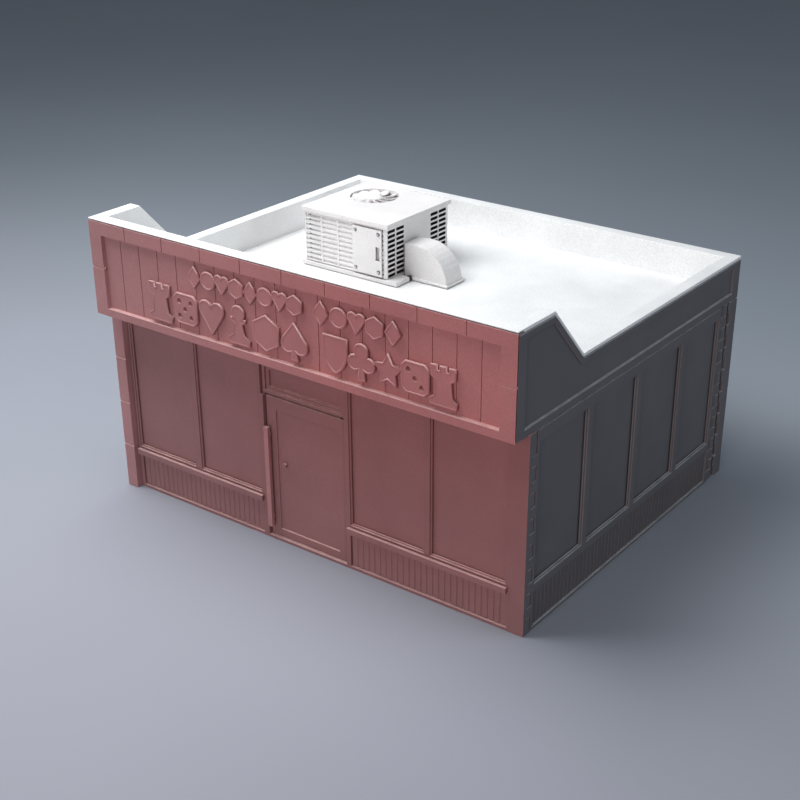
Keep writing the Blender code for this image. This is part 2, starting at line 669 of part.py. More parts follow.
def make_side_fascia(name, face, side):
    """Side panel of the lid, with its recess following the parapet's outline."""
    lowered = COPING + GAP
    across = sorted((side * (HALF_W - FASCIA), side * HALF_W))
    panel = side_plate(name, side_outline((-HALF_D, HALF_D), SEAM, lowered), across, LID, CHARCOAL)
    recess_span = (-HALF_D + SIDE_BORDER, HALF_D - SIDE_BORDER)
    recess_across = sorted((side * (HALF_W - SIDE_RECESS), side * (HALF_W + CUT)))
    tool = side_plate(f"{name}_recess", side_outline(recess_span, SIDE_BOTTOM, lowered + TOP_BORDER),
                      recess_across, LID)
    combine(panel, tool, "DIFFERENCE")
    mitre(panel, side, -1)
    mitre(panel, side, 1)


def make_rear_fascia():
    """Rear panel of the lid."""
    top = REAR_HEIGHT - COPING - GAP
    inner = HALF_W - FASCIA
    outline = [(HALF_W, HALF_D), (-HALF_W, HALF_D), (-inner, HALF_D - FASCIA),
               (inner, HALF_D - FASCIA)]
    panel = plate("rear_fascia", [outline], top - SEAM, (0, 0, (top + SEAM) / 2), LID, CHARCOAL)
    recess_end = HALF_W - SIDE_BORDER
    cut(panel, "recess", [on_face("back", (-recess_end, recess_end),
                                  (SIDE_BOTTOM, top - TOP_BORDER), (-CUT, SIDE_RECESS))])


def make_locating_bars():
    """Bars under the roof that stand just inside the fixed walls and centre the lid."""
    top = SEAM - GAP
    low = 0.0587
    wide = 0.0017
    reach = 0.0430
    inner_front = INNER_FRONT_Y + GAP
    inner_back = INNER_BACK_Y - GAP
    inner_left = -INNER_X + GAP
    each(boxes, "lid_locating_bar", [((-0.0480, inner_front, low), (0.0480, inner_front + wide, top)),
                                     ((-reach, inner_back - wide, low), (reach, inner_back, top)),
                                     ((inner_left, -reach, low), (inner_left + wide, reach, top))],
         LID, WHITE)


# ---------------------------------------------------------------- sign ornaments

def both_sides(right):
    """A closed outline from its right half; points on the middle line are not repeated."""
    return right + [(-x, y) for x, y in reversed(right) if x > 0.00001]


def die(size, pips):
    """A die face: chamfered square with round pips."""
    half = size * 0.39
    corner = size * 0.12
    outline = both_sides([(half - corner, -half), (half, corner - half), (half, half - corner),
                          (half - corner, half)])
    offset = size * 0.20
    spots = {3: ((-1, 1), (0, 0), (1, -1)), 5: ((-1, -1), (-1, 1), (0, 0), (1, -1), (1, 1))}[pips]
    holes = [arc((across * offset, up * offset), size * 0.075, 0, 315, 7) for across, up in spots]
    return [outline] + holes


def low_die(size):
    """A die face with three pips."""
    return die(size, 3)


def high_die(size):
    """A die face with five pips."""
    return die(size, 5)


def hexagon(size):
    """A hexagonal counter standing on a corner."""
    return [arc((0, 0), size * 0.46, 90, 390, 5)]


def disc(size):
    """A round counter."""
    return [arc((0, 0), size * 0.40, 0, 337.5, 15)]


def diamond(size):
    """A card diamond."""
    return [[(0, -size * 0.5), (size * 0.36, 0), (0, size * 0.5), (-size * 0.36, 0)]]


def star(size):
    """A five-pointed star."""
    tips = arc((0, -size * 0.02), size * 0.43, 90, 378, 4)
    dips = arc((0, -size * 0.02), size * 0.21, 126, 414, 4)
    return [[point for pair in zip(tips, dips) for point in pair]]


def heart(size):
    """A card heart."""
    lobe = size * 0.20
    return [both_sides([(0, -size * 0.46)] + arc((lobe, size * 0.20), lobe, -35, 170, 8))]


def spade(size):
    """A card spade."""
    lobe = size * 0.20
    return [both_sides([(0, size * 0.48)] + arc((lobe, -size * 0.10), lobe, 35, -140, 8)
                       + [(lobe * 0.6, -size * 0.48)])]


def club(size):
    """A card club."""
    lobe = size * 0.19
    return [both_sides([(lobe * 0.6, -size * 0.48)] + arc((lobe * 1.1, -size * 0.05), lobe, -140, 115, 9)
                       + arc((0, size * 0.27), lobe, -35, 90, 6))]


def pawn(size):
    """A pawn: foot, flared body, collar and round head."""
    right = [(0.34, -0.5), (0.34, -0.38), (0.16, -0.26), (0.11, 0.06), (0.22, 0.10), (0.22, 0.17),
             (0.10, 0.17)]
    return [both_sides([(x * size, y * size) for x, y in right]
                       + arc((0, size * 0.31), size * 0.19, -35, 90, 6))]


def rook(size):
    """A castle tower with battlements."""
    right = [(0.38, -0.5), (0.38, -0.36), (0.24, -0.28), (0.21, 0.16), (0.34, 0.24), (0.34, 0.5),
             (0.19, 0.5), (0.19, 0.37), (0.08, 0.37), (0.08, 0.5)]
    return [both_sides([(x * size, y * size) for x, y in right])]


def shield(size):
    """A shield with a flat top."""
    half = size * 0.36
    curve = arc((-half * 0.9, size * 0.1), half * 1.9, 0, -58, 6)
    return [both_sides([(half, size * 0.46)] + curve)]


def add_sign_shapes(panel):
    """Two rows of game shapes moulded on the sign boards.

    Each word is given by its first middle, its number of shapes, their pitch and their size.
    """
    small = (diamond, disc, heart, hexagon)
    large = (rook, high_die, heart, pawn, hexagon, spade, shield, club, star, low_die, rook)
    rows = ((0.0811, small, ((-0.0334, 8, 0.0053, 0.0061), (0.0129, 5, 0.0060, 0.0066))),
            (0.0705, large, ((-0.0478, 6, 0.0102, 0.0112), (0.0176, 5, 0.0088, 0.0108))))
    outlines = []
    for height, shapes, words in rows:
        places = [(start + pitch * place, size)
                  for start, count, pitch, size in words for place in range(count)]
        for number, (middle, size) in enumerate(places):
            for outline in shapes[number % len(shapes)](size):
                outlines.append([(x + middle, y + height) for x, y in outline])
    front = 0.0004
    back = SIGN_RECESS + 0.0007
    tool = plate("sign_shapes", outlines, back - front, (0, -HALF_D + (front + back) / 2, 0), LID,
                 turn=(math.pi / 2, 0, 0))
    combine(panel, tool, "UNION")


# ---------------------------------------------------------------- roof unit

def make_roof_unit():
    """Roof unit: curb, cabinet, lid with the fan opening, fan, access panel, screws, duct."""
    deck = DECK_TOP + GAP
    curb = boxes("unit_curb", [((UNIT_X[0] - 0.0012, UNIT_Y[0] - 0.0006, deck),
                                (UNIT_X[1] + CURB_LIP, UNIT_Y[1] + 0.0008, CURB_TOP))],
                 LID, UNIT_WHITE)
    join(curb, "side_block", [((UNIT_X[1], UNIT_Y[0] - 0.0006, deck),
                               (UNIT_X[1] + 0.0040, DUCT_Y[0] - 0.0016, CURB_TOP + 0.0002))])
    bottom = CURB_TOP + GAP
    cabinet = boxes("unit_cabinet", [((UNIT_X[0], UNIT_Y[0], bottom),
                                      (UNIT_X[1], UNIT_Y[1], UNIT_TOP))], LID, UNIT_WHITE)
    well = ((FAN_X, FAN_Y, UNIT_TOP), 2 * FAN_WELL_DEPTH)
    combine(cabinet, rods("unit_cabinet_well", [well], FAN_WELL + 0.0004, LID), "DIFFERENCE")
    lid_low = UNIT_TOP + GAP
    cover = boxes("unit_lid", [((UNIT_X[0] - UNIT_LIP, UNIT_Y[0] - UNIT_LIP, lid_low),
                                (UNIT_X[1] + UNIT_LIP, UNIT_Y[1] + UNIT_LIP, lid_low + UNIT_LID))],
                  LID, UNIT_WHITE)
    combine(cover, rods("unit_lid_opening", [((FAN_X, FAN_Y, lid_low), 4 * UNIT_LID)], FAN_WELL, LID),
            "DIFFERENCE")
    make_fan(lid_low)
    make_access_panel()
    make_duct(deck)


def make_fan(rim):
    """Fan: seven pitched blades on a hub."""
    middle = rim
    fan = rods("unit_fan", [((FAN_X, FAN_Y, middle), 0.0022)], 0.0024, LID, UNIT_WHITE)
    work = bmesh.new()
    blades = 7
    for number in range(blades):
        cube = bmesh.ops.create_cube(work, size=1)["verts"]
        bmesh.ops.scale(work, vec=(0.0056, 0.0034, 0.0005), verts=cube)
        bmesh.ops.rotate(work, cent=(0, 0, 0), matrix=Matrix.Rotation(math.radians(24), 3, "X"),
                         verts=cube)
        bmesh.ops.translate(work, vec=(0.0047, 0, 0), verts=cube)
        spin = Matrix.Rotation(2 * math.pi * number / blades, 3, "Z")
        bmesh.ops.rotate(work, cent=(0, 0, 0), matrix=spin, verts=cube)
    tool = stand("unit_fan_blades", mesh_of("unit_fan_blades", work), (FAN_X, FAN_Y, middle), LID)
    combine(fan, tool, "UNION")
    rods("unit_fan_motor", [((FAN_X, FAN_Y, (middle - 0.0011 + UNIT_TOP - FAN_WELL_DEPTH) / 2),
                             0.0024)], 0.0030, LID, UNIT_WHITE)


def make_access_panel():
    """Access panel on the front of the unit, with a grip slot and four screws."""
    front = UNIT_Y[0] - GAP - PANEL_THICK
    panel = boxes("unit_access_panel", [((PANEL_X[0], front, PANEL_Z[0]),
                                         (PANEL_X[1], front + PANEL_THICK, PANEL_Z[1]))],
                  LID, UNIT_WHITE)
    cut(panel, "grip_slot", [((-0.0172, front - CUT, 0.0718), (-0.0156, front + CUT, 0.0763))])
    corners = [((x, front, z), 0.0020) for x in shrink(PANEL_X, 0.0012)
               for z in shrink(PANEL_Z, 0.0013)]
    bore(panel, "screw_holes", corners, 0.0007, axis="Y")
    screws = [((x, front + 0.0001, z), 0.0006) for (x, _, z), _ in corners]
    each(rods, "unit_panel_screw", screws, 0.0004, LID, STEEL, sides=8, axis="Y")


def make_duct(deck):
    """Duct hood: flat at the cabinet, then a quarter round down to its flange on the roof."""
    start = UNIT_X[1] + CURB_LIP + GAP
    turn_x = DUCT_END - DUCT_RADIUS
    outline = [(start, deck)] + arc((turn_x, deck), DUCT_RADIUS, 0, 90, 10) + [(start, deck + DUCT_RADIUS)]
    duct = plate("unit_duct", [outline], DUCT_Y[1] - DUCT_Y[0], (0, sum(DUCT_Y) / 2, 0), LID,
                 UNIT_WHITE, turn=(math.pi / 2, 0, 0))
    lip = 0.0006
    join(duct, "flange", [((start + 0.0004, DUCT_Y[0] - lip, deck),
                           (DUCT_END + lip, DUCT_Y[1] + lip, deck + 0.0007))])


def make_lid_magnets():
    """Magnets of the lid and, under them, of the walls."""
    length = MAGNET_LENGTH
    for name, body, z in (("lid_magnet", LID, SEAM + GAP + length / 2),
                          ("case_magnet", CASE, WALL_TOP - GAP - length / 2)):
        each(rods, name, [(place, length) for place in magnet_places(z)], MAGNET, body,
             MAGNET_METAL, sides=SMALL_ROUND)


make_base()
make_front_wall()
make_corner_pilaster()
make_transom()
make_entry_door()
make_swing_wall()
make_left_wall()
make_back_wall()
make_rear_magnet_blocks()
make_roof_tray()
make_front_fascia()
make_side_fascia("right_fascia", "right", 1)
make_side_fascia("left_fascia", "left", -1)
make_rear_fascia()
make_locating_bars()
make_roof_unit()
make_lid_magnets()
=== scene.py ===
"""Looks of the shop-shaped miniature carry case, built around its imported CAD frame.

Metres, +Z up, +X to the right of the shop front, which faces -Y.
"""
import json
import math

import bmesh
import bpy
from mathutils import Matrix, Vector


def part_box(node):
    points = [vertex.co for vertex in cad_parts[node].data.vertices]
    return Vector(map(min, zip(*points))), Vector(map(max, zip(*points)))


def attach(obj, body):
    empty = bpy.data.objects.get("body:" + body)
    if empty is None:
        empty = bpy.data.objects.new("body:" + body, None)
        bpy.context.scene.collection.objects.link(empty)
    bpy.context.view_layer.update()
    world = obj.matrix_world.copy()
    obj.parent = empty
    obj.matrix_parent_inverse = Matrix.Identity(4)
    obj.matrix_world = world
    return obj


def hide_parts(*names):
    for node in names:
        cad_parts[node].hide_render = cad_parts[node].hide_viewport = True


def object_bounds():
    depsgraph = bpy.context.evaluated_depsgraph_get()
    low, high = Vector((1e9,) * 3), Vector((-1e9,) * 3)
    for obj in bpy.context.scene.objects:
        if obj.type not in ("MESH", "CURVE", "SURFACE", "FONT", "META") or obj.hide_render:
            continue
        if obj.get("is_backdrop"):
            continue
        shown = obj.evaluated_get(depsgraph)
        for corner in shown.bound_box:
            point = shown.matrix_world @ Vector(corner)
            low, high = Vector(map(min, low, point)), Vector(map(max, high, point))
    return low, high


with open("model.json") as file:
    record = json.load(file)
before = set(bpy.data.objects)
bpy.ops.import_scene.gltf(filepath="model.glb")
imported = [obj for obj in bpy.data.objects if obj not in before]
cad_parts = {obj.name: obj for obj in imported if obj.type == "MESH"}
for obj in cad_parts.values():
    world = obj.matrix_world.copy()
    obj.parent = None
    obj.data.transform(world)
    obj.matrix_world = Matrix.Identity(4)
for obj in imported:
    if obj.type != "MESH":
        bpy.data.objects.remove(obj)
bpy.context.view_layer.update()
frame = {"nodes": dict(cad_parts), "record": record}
nodes = frame["nodes"]

MM = 0.001

# Texture scales in cycles per metre, and the height of a printed layer
CLOUD_SCALE = 55.0
WEAR_AND_HIGHLIGHT_SCALE = 300.0
GRAIN_SCALE = 2200.0
SCRATCH_SCALE = 900.0
LAYER = 0.4 * MM
EDGE_RADIUS = 0.25 * MM

# ---------------------------------------------------------------- materials


def add(tree, kind, settings=None, **sockets):
    """A shader node; sockets are set to a value, or linked when given another node's output."""
    made = tree.nodes.new(kind)
    for name, value in (settings or {}).items():
        setattr(made, name, value)
    for name, value in sockets.items():
        key = int(name[1:]) if name[0] == "i" and name[1:].isdigit() else name.replace("_", " ")
        if isinstance(value, bpy.types.NodeSocket):
            tree.links.new(value, made.inputs[key])
        else:
            made.inputs[key].default_value = value
    return made


def maths(tree, operation, first, second=0.0):
    """A Math node's output."""
    return add(tree, "ShaderNodeMath", {"operation": operation}, i0=first, i1=second).outputs[0]


def spread(tree, value, low, high, out_low, out_high):
    """A Map Range output, clamped."""
    return add(tree, "ShaderNodeMapRange", None, i0=value, i1=low, i2=high, i3=out_low,
               i4=out_high).outputs[0]


def blend_colours(tree, share, first, second):
    """A colour Mix output; colours are given as three numbers or as an output."""
    values = {}
    for key, value in (("i6", first), ("i7", second)):
        values[key] = value if isinstance(value, bpy.types.NodeSocket) else (*value, 1)
    return add(tree, "ShaderNodeMix", {"data_type": "RGBA", "blend_type": "MIX"},
               i0=share, **values).outputs[2]


def noise(tree, place, scale, detail=2.0, rough=0.5):
    """A Noise Texture output in object space."""
    return add(tree, "ShaderNodeTexNoise", None, Vector=place, Scale=scale, Detail=detail,
               Roughness=rough).outputs["Fac"]


def new_material(name):
    """An empty node tree with its Principled shader."""
    made = bpy.data.materials.new(name)
    made.use_nodes = True
    return made, made.node_tree, made.node_tree.nodes["Principled BSDF"]


def printed(name, colour, painted_falloff=None, side=None, wear_and_highlight=1.5, rough=(0.52, 0.70), ledge_highlight=None):
    """Printed plastic: cloudy colour, fine grain, faint layers, edges lighter from rubbing wear and a
    painted highlight.

    The colour that ledges and upper edges turn to is a painted highlight, as if lit from above.
    The second colour towards the left end and the foot is a painted falloff of the light, with the two
    x places between which it turns.
    side is a colour that takes over where a test on the face's direction holds: (axis, sign, colour,
    share, lowest x).
    """
    made, tree, shader = new_material(name)
    where = add(tree, "ShaderNodeTexCoord")
    place = where.outputs["Object"]
    axes = add(tree, "ShaderNodeSeparateXYZ", None, Vector=place)
    tone = colour
    # Painted falloff of the light: greyer and dimmer towards the left end and the foot.
    if painted_falloff:
        turn = spread(tree, axes.outputs["X"], painted_falloff[1], painted_falloff[2], 0.0, 1.0)
        height = spread(tree, axes.outputs["Z"], 0.0, 0.055, 0.30, 1.0)
        tone = blend_colours(tree, maths(tree, "MULTIPLY", turn, height), painted_falloff[0], tone)
    # Faces that look one way take the side colour: two-tone paint on the front wall's right end,
    # painted warm light on the side walls' forward faces.
    if side:
        axis, sign, other, share, least_x = side
        facing = add(tree, "ShaderNodeSeparateXYZ", None, Vector=where.outputs["Normal"])
        towards = maths(tree, "MULTIPLY", facing.outputs[axis], sign)
        turned = maths(tree, "GREATER_THAN", towards, 0.7)
        beyond = maths(tree, "GREATER_THAN", axes.outputs["X"], least_x)
        amount = maths(tree, "MULTIPLY", maths(tree, "MULTIPLY", turned, beyond), share)
        tone = blend_colours(tree, amount, tone, other)
    cloud = spread(tree, noise(tree, place, CLOUD_SCALE, 3.0), 0.3, 0.7, 0.93, 1.06)
    grain = noise(tree, place, GRAIN_SCALE, 2.0, 0.6)
    speck = spread(tree, grain, 0.3, 0.7, 0.90, 1.08)
    shade = maths(tree, "MULTIPLY", cloud, speck)
    tone = add(tree, "ShaderNodeVectorMath", {"operation": "SCALE"}, i0=tone_socket(tree, tone),
               Scale=shade).outputs[0]
    rounded = add(tree, "ShaderNodeBevel", {"samples": 4}, Radius=EDGE_RADIUS).outputs[0]
    straight = add(tree, "ShaderNodeNewGeometry").outputs["Normal"]
    turn = add(tree, "ShaderNodeVectorMath", {"operation": "DOT_PRODUCT"}, i0=rounded,
               i1=straight).outputs["Value"]
    # Edges turn lighter: partly rubbing wear, partly a painted highlight.
    edge_wear_and_highlight = spread(tree, turn, 0.995, 0.80, 0.0, 1.0)
    patchy = spread(tree, noise(tree, place, WEAR_AND_HIGHLIGHT_SCALE, 3.0), 0.4, 0.62, 0.25, 1.0)
    edge_wear_and_highlight = maths(tree, "MULTIPLY", edge_wear_and_highlight, patchy)
    light = tuple(min(1.0, part * wear_and_highlight + 0.02) for part in colour)
    tone = blend_colours(tree, maths(tree, "MULTIPLY", edge_wear_and_highlight, 0.55), tone, light)
    # Painted highlight: ledges and upper edges turn lighter as if lit from above.
    if ledge_highlight:
        upward = add(tree, "ShaderNodeSeparateXYZ", None, Vector=rounded).outputs["Z"]
        even = spread(tree, patchy, 0.25, 1.0, 0.75, 1.0)
        ledge_lit = maths(tree, "MULTIPLY", spread(tree, upward, 0.25, 0.65, 0.0, 0.85), even)
        tone = blend_colours(tree, ledge_lit, tone, ledge_highlight)
    tree.links.new(tone, shader.inputs["Base Color"])
    tree.links.new(spread(tree, grain, 0.3, 0.7, *rough), shader.inputs["Roughness"])
    layer = maths(tree, "SINE", maths(tree, "MULTIPLY", axes.outputs["Z"], 2 * math.pi / LAYER))
    relief = maths(tree, "ADD", maths(tree, "MULTIPLY", layer, 0.25),
                   maths(tree, "MULTIPLY", grain, 1.2))
    bump = add(tree, "ShaderNodeBump", None, Strength=0.35, Distance=0.00004, Height=relief)
    tree.links.new(bump.outputs[0], shader.inputs["Normal"])
    shader.inputs["Specular IOR Level"].default_value = 0.35
    return made


def tone_socket(tree, tone):
    """A colour as an output."""
    if isinstance(tone, bpy.types.NodeSocket):
        return tone
    made = add(tree, "ShaderNodeRGB")
    made.outputs[0].default_value = (*tone, 1)
    return made.outputs[0]


def metal(name, colour, rough):
    """Plain metal with fine drawn scratches and cloudy gloss."""
    made, tree, shader = new_material(name)
    place = add(tree, "ShaderNodeTexCoord").outputs["Object"]
    long = add(tree, "ShaderNodeVectorMath", {"operation": "MULTIPLY"}, i0=place, i1=(0.06, 1, 1))
    scratch = noise(tree, long.outputs[0], SCRATCH_SCALE, 3.0)
    cloud = noise(tree, place, 80.0, 2.0)
    shade = spread(tree, scratch, 0.3, 0.7, 0.88, 1.08)
    tone = add(tree, "ShaderNodeVectorMath", {"operation": "SCALE"}, i0=tone_socket(tree, colour),
               Scale=shade).outputs[0]
    tree.links.new(tone, shader.inputs["Base Color"])
    tree.links.new(spread(tree, cloud, 0.3, 0.7, rough - 0.06, rough + 0.08),
                   shader.inputs["Roughness"])
    bump = add(tree, "ShaderNodeBump", None, Strength=0.2, Distance=0.00002, Height=scratch)
    tree.links.new(bump.outputs[0], shader.inputs["Normal"])
    shader.inputs["Metallic"].default_value = 1.0
    return made


ROSE_COLOUR = (0.43, 0.155, 0.15)
# The rose where the painted light falls off, towards the left end and the foot.
GREY_ROSE_PAINTED_FALLOFF = (0.40, 0.200, 0.200)
CHARCOAL_COLOUR = (0.125, 0.118, 0.125)
# Painted warm light on the side walls' faces that look forward.
CHARCOAL_FRONT_PAINTED_LIGHT = (0.235, 0.185, 0.185)


def dimmed(colour, share):
    """A darker shade of a colour."""
    return tuple(part * share for part in colour)


def rose(name, share, **settings):
    """The shop front's rose in one of its shades, with a painted falloff of the light: greyer towards
    the left end and the foot.
    """
    return printed(name, dimmed(ROSE_COLOUR, share), painted_falloff=(dimmed(GREY_ROSE_PAINTED_FALLOFF, share), -0.075, 0.02),
                   wear_and_highlight=1.45, ledge_highlight=(0.78, 0.50, 0.48), **settings)


ROSE = rose("rose_print", 1.0)
ROSE_WALL = rose("rose_wall_print", 0.66, side=("X", 1, CHARCOAL_COLOUR, 1.0, 0.0745))
ROSE_TRIM = rose("rose_trim_print", 0.70)
ROSE_BOARDS = rose("rose_boards_print", 0.71)


def charcoal(name, share):
    """The side walls' charcoal in one of its shades, with a painted warm light on faces that look
    forward.
    """
    return printed(name, dimmed(CHARCOAL_COLOUR, share),
                   side=("Y", -1, dimmed(CHARCOAL_FRONT_PAINTED_LIGHT, share), 0.8, -1.0), wear_and_highlight=1.5,
                   ledge_highlight=(0.62, 0.61, 0.62))


CHARCOAL = charcoal("charcoal_print", 1.0)
CHARCOAL_BOARDS = charcoal("charcoal_boards_print", 0.84)
WHITE = printed("white_print", (0.86, 0.86, 0.855), wear_and_highlight=1.05)
UNIT = printed("unit_print", (0.76, 0.735, 0.725), wear_and_highlight=1.08)
SHADOW = printed("vent_shadow", (0.022, 0.021, 0.022), wear_and_highlight=1.0)
STEEL = metal("steel", (0.50, 0.51, 0.53), 0.36)
NICKEL = metal("magnet_nickel", (0.62, 0.61, 0.58), 0.24)

FINISHES = {"rose_print": ROSE, "charcoal_print": CHARCOAL, "white_print": WHITE, "steel": STEEL,
            "magnet_nickel": NICKEL}


def paint(material, *names):
    """One material on each of the named nodes."""
    for name in names:
        for place in nodes[name].material_slots:
            place.material = material


for entry in frame["record"]["subparts"]:
    paint(FINISHES[entry["material_slot"]], entry["node"])
paint(ROSE_WALL, "front_wall")
paint(ROSE_TRIM, "front_left_panes", "front_right_panes", "front_left_sill", "front_right_sill",
      "transom_window", "door_leaf", "door_lock")
paint(UNIT, *(name for name in nodes if name.startswith("unit_") and "screw" not in name))

# ---------------------------------------------------------------- soft edges on the CAD nodes

# Widths of the rounded edges in mm
SOFT = {"front_wall": 0.12, "swing_wall": 0.12, "left_wall": 0.06, "back_wall": 0.12,
        "corner_pilaster": 0.18, "base_tray": 0.2,
        "roof_tray": 0.25, "sign_fascia": 0.14, "right_fascia": 0.15, "left_fascia": 0.15,
        "rear_fascia": 0.15, "front_left_sill": 0.18, "front_right_sill": 0.18,
        "transom_window": 0.12, "door_leaf": 0.12, "door_handle": 0.22, "service_door": 0.12,
        "unit_curb": 0.15, "unit_lid": 0.15, "unit_duct": 0.15, "unit_access_panel": 0.1,
        "rear_magnet_block_1": 0.2, "rear_magnet_block_2": 0.2,
        "lid_locating_bar_1": 0.2, "lid_locating_bar_2": 0.2, "lid_locating_bar_3": 0.2,
        "service_door_knob": 0.1, "steel_floor_sheet": 0.05}


def soften(piece, width, segments=2):
    """Rounded edges; flat faces are made whole first so that the bevel runs cleanly."""
    weld = piece.modifiers.new("weld", "WELD")
    weld.merge_threshold = 0.000002
    flat = piece.modifiers.new("flat_faces", "DECIMATE")
    flat.decimate_type = "DISSOLVE"
    flat.angle_limit = math.radians(1)
    bevel = piece.modifiers.new("soft_edges", "BEVEL")
    bevel.width = width * MM
    bevel.segments = segments
    bevel.limit_method = "ANGLE"
    bevel.angle_limit = math.radians(40)
    bevel.harden_normals = True


for name, width in SOFT.items():
    soften(nodes[name], width)

# ---------------------------------------------------------------- new pieces


def piece_of(name, work, material, body, slot, *stands_for):
    """A bmesh as a piece in the row frame."""
    mesh = bpy.data.meshes.new(name)
    bmesh.ops.recalc_face_normals(work, faces=work.faces)
    work.to_mesh(mesh)
    work.free()
    piece = bpy.data.objects.new(name, mesh)
    bpy.context.scene.collection.objects.link(piece)
    mesh.materials.append(material)
    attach(piece, body)
    if stands_for:
        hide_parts(*stands_for)
    return piece


def prism(work, outline, low, high, axis):
    """An outline given length along an axis.

    The outline's two numbers are the other two axes in order.
    """
    def at(point, along):
        rest = list(point)
        rest.insert("XYZ".index(axis), along)
        return work.verts.new(rest)
    near = [at(point, low) for point in outline]
    far = [at(point, high) for point in outline]
    work.faces.new(near)
    work.faces.new(list(reversed(far)))
    for number in range(len(outline)):
        after = (number + 1) % len(outline)
        work.faces.new((near[after], near[number], far[number], far[after]))


BOARD_PITCH = 2.05 * MM
GROOVE_HALF = 0.30 * MM
GROOVE_DEEP = 0.28 * MM
# Across a groove: shares of its half width and of its depth
GROOVE_SHAPE = ((-1.0, 0.0), (-0.6, 0.55), (-0.25, 1.0), (0.25, 1.0), (0.6, 0.55), (1.0, 0.0))


def beadboard(node, axis, outward, material, body, slot):
    """A panel of narrow vertical boards with a rounded groove between each two.

    axis is the direction across the panel; outward is the sign of its outer side on the other axis.
    """
    low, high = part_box(node)
    along = (low.x, high.x) if axis == "x" else (low.y, high.y)
    depth = (low.y, high.y) if axis == "x" else (low.x, high.x)
    outer = depth[1] if outward > 0 else depth[0]
    inner = depth[0] if outward > 0 else depth[1]
    length = along[1] - along[0]
    count = round(length / BOARD_PITCH)
    pitch = length / count
    profile = [(along[0], outer)]
    for number in range(1, count):
        middle = along[0] + number * pitch
        for share, down in GROOVE_SHAPE:
            profile.append((middle + share * GROOVE_HALF, outer - outward * GROOVE_DEEP * down))
    profile += [(along[1], outer), (along[1], inner), (along[0], inner)]
    if axis == "y":
        profile = [(b, a) for a, b in profile]
    work = bmesh.new()
    prism(work, profile, low.z, high.z, "Z")
    return piece_of(node + "_boards", work, material, body, slot, node)


beadboard("front_left_beadboard", "x", -1, ROSE_BOARDS, "case", "rose_print")
beadboard("front_right_beadboard", "x", -1, ROSE_BOARDS, "case", "rose_print")
beadboard("swing_wall_beadboard", "y", 1, CHARCOAL_BOARDS, "side_wall", "charcoal_print")
beadboard("left_wall_beadboard", "y", -1, CHARCOAL_BOARDS, "case", "charcoal_print")


def raised_outlines(node, plane, tolerance):
    """Closed loops of points round the islands of front-facing faces at a given y of a node."""
    work = bmesh.new()
    work.from_mesh(nodes[node].data)
    bmesh.ops.transform(work, matrix=nodes[node].matrix_world, verts=work.verts)
    bmesh.ops.remove_doubles(work, verts=work.verts, dist=0.000002)
    chosen = [face for face in work.faces if face.normal.y < -0.99
              and abs(face.calc_center_median().y - plane) < tolerance]
    members = set(chosen)
    follow = {}
    for face in chosen:
        for loop in face.loops:
            if not any(other in members for other in loop.edge.link_faces if other is not face):
                follow.setdefault(loop.vert.index, []).append(loop.link_loop_next.vert.index)
    points = [vert.co.copy() for vert in work.verts]
    work.free()
    loops = []
    while follow:
        start = next(iter(follow))
        chain = [start]
        while chain[-1] in follow:
            after = follow[chain[-1]].pop()
            if not follow[chain[-1]]:
                del follow[chain[-1]]
            if after == start:
                break
            chain.append(after)
        loops.append([points[number] for number in chain])
    return loops


def bead_along(loops, radius, offset):
    """A bmesh of round beads that follow closed loops, moved along y by an offset."""
    curve = bpy.data.curves.new("bead", "CURVE")
    curve.dimensions = "3D"
    curve.bevel_depth = radius
    curve.bevel_resolution = 3
    for loop in loops:
        spline = curve.splines.new("POLY")
        spline.points.add(len(loop) - 1)
        for place, point in zip(spline.points, loop):
            place.co = (point.x, point.y + offset, point.z, 1)
        spline.use_cyclic_u = True
    holder = bpy.data.objects.new("bead", curve)
    bpy.context.scene.collection.objects.link(holder)
    made = bpy.data.meshes.new_from_object(holder.evaluated_get(bpy.context.evaluated_depsgraph_get()))
    work = bmesh.new()
    work.from_mesh(made)
    bpy.data.objects.remove(holder)
    bpy.data.meshes.remove(made)
    return work


# Sign: rounded rims on the moulded game shapes
SHAPE_FACE = -0.0631
shape_loops = [loop for loop in raised_outlines("sign_fascia", SHAPE_FACE, 0.0002)
               if max(point.x for point in loop) - min(point.x for point in loop) > 2 * MM]
RIM_RADIUS = 0.42 * MM
RIM_SINK = 0.25 * MM
rims = piece_of("sign_shape_rims", bead_along(shape_loops, RIM_RADIUS, RIM_SINK), ROSE, "lid",
                "rose_print")
rims.data.shade_smooth()


def box_into(work, low, high):
    """An axis-aligned box."""
    made = bmesh.ops.create_cube(work, size=1)["verts"]
    low, high = Vector(low), Vector(high)
    bmesh.ops.scale(work, vec=high - low, verts=made)
    bmesh.ops.translate(work, vec=(low + high) / 2, verts=made)
    return made


def carved(work, cutters):
    """A bmesh with cutters taken out of it, as a new bmesh."""
    holders = []
    for number, content in enumerate((work, *cutters)):
        mesh = bpy.data.meshes.new(f"carve_{number}")
        bmesh.ops.recalc_face_normals(content, faces=content.faces)
        content.to_mesh(mesh)
        content.free()
        holder = bpy.data.objects.new(mesh.name, mesh)
        bpy.context.scene.collection.objects.link(holder)
        holders.append(holder)
    for cutter in holders[1:]:
        boolean = holders[0].modifiers.new(cutter.name, "BOOLEAN")
        boolean.operation = "DIFFERENCE"
        boolean.solver = "EXACT"
        boolean.object = cutter
    graph = bpy.context.evaluated_depsgraph_get()
    result = bmesh.new()
    result.from_object(holders[0], graph)
    for holder in holders:
        bpy.data.objects.remove(holder)
    return result


